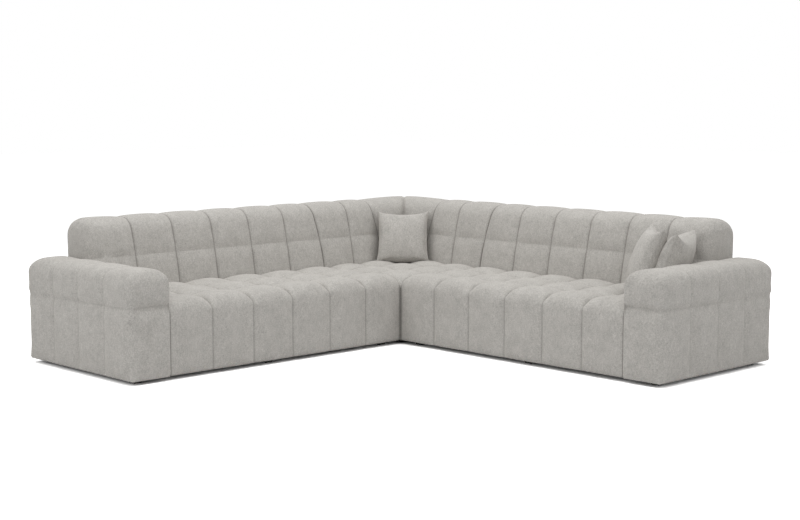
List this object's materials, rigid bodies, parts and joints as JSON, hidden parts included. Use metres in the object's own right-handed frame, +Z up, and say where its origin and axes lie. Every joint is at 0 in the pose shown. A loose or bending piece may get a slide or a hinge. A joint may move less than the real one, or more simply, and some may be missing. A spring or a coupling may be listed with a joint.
{
  "type": "corner sofa",
  "caption": "Low L-shaped corner sofa of three upholstered modules with channelled seats, backs and arms, hidden feet and loose scatter cushions.",
  "frame": {"origin": "on the floor, under the middle of the plan's bounding box", "axes": "+Z up; one wing runs along X with its back towards +Y, the other along Y with its back towards -X; the outer back corner is at -X +Y"},
  "size_m": [2.9, 2.9, 0.8],
  "materials": {
    "upholstery": "soft woven boucle, matt",
    "pillow_fabric": "soft woven boucle, matt",
    "filling": "fibre filling",
    "foam": "cut foam",
    "dust_cloth": "black spun cloth",
    "foot": "matt moulded",
    "spring_steel": "drawn wire",
    "plated_steel": "zinc plated",
    "webbing": "woven elastic",
    "hardboard": "pressed board",
    "timber": "planed pine"
  },
  "bodies": {
    "sofa": {"corner_back_cover": "upholstery", "corner_back_foam": "foam", "corner_back_panels": "hardboard", "corner_back_posts": "timber", "corner_back_top_rails": "timber", "corner_back_webbing": "webbing", "corner_base_rails": "timber", "corner_dust_cover": "dust_cloth", "corner_feet": "foot", "corner_seat_cover": "upholstery", "corner_seat_foam": "foam", "corner_seat_springs": "spring_steel", "corner_spring_clips": "spring_steel", "left_arm_cover": "upholstery", "left_arm_foam": "foam", "left_arm_frame": "timber", "left_back_cover": "upholstery", "left_back_foam": "foam", "left_back_panel": "hardboard", "left_back_posts": "timber", "left_back_top_rail": "timber", "left_back_webbing": "webbing", "left_corner_blocks": "timber", "left_cross_rails": "timber", "left_dust_cover": "dust_cloth", "left_feet": "foot", "left_front_rail": "timber", "left_rear_rail": "timber", "left_seat_cover": "upholstery", "left_seat_foam": "foam", "left_seat_springs": "spring_steel", "left_spring_clips": "spring_steel", "left_spring_rail": "timber", "module_connectors": "plated_steel", "right_arm_cover": "upholstery", "right_arm_foam": "foam", "right_arm_frame": "timber", "right_back_cover": "upholstery", "right_back_foam": "foam", "right_back_panel": "hardboard", "right_back_posts": "timber", "right_back_top_rail": "timber", "right_back_webbing": "webbing", "right_corner_blocks": "timber", "right_cross_rails": "timber", "right_dust_cover": "dust_cloth", "right_feet": "foot", "right_front_rail": "timber", "right_rear_rail": "timber", "right_seat_cover": "upholstery", "right_seat_foam": "foam", "right_seat_springs": "spring_steel", "right_spring_clips": "spring_steel", "right_spring_rail": "timber"},
    "corner_pillow": {"corner_pillow_cover": "pillow_fabric", "corner_pillow_filling": "filling"},
    "inner_pillow": {"inner_pillow_cover": "pillow_fabric", "inner_pillow_filling": "filling"},
    "outer_pillow": {"outer_pillow_cover": "pillow_fabric", "outer_pillow_filling": "filling"}
  },
  "joints": [
    {"name": "corner_pillow_lift", "type": "slide", "parent": "sofa", "child": "corner_pillow", "axis": [0, 0, 1], "range_m": [0, 0.5]},
    {"name": "inner_pillow_lift", "type": "slide", "parent": "sofa", "child": "inner_pillow", "axis": [0, 0, 1], "range_m": [0, 0.5]},
    {"name": "outer_pillow_lift", "type": "slide", "parent": "sofa", "child": "outer_pillow", "axis": [0.3323, 0.1342, 0.9336], "range_m": [0, 0.5]}
  ]
}
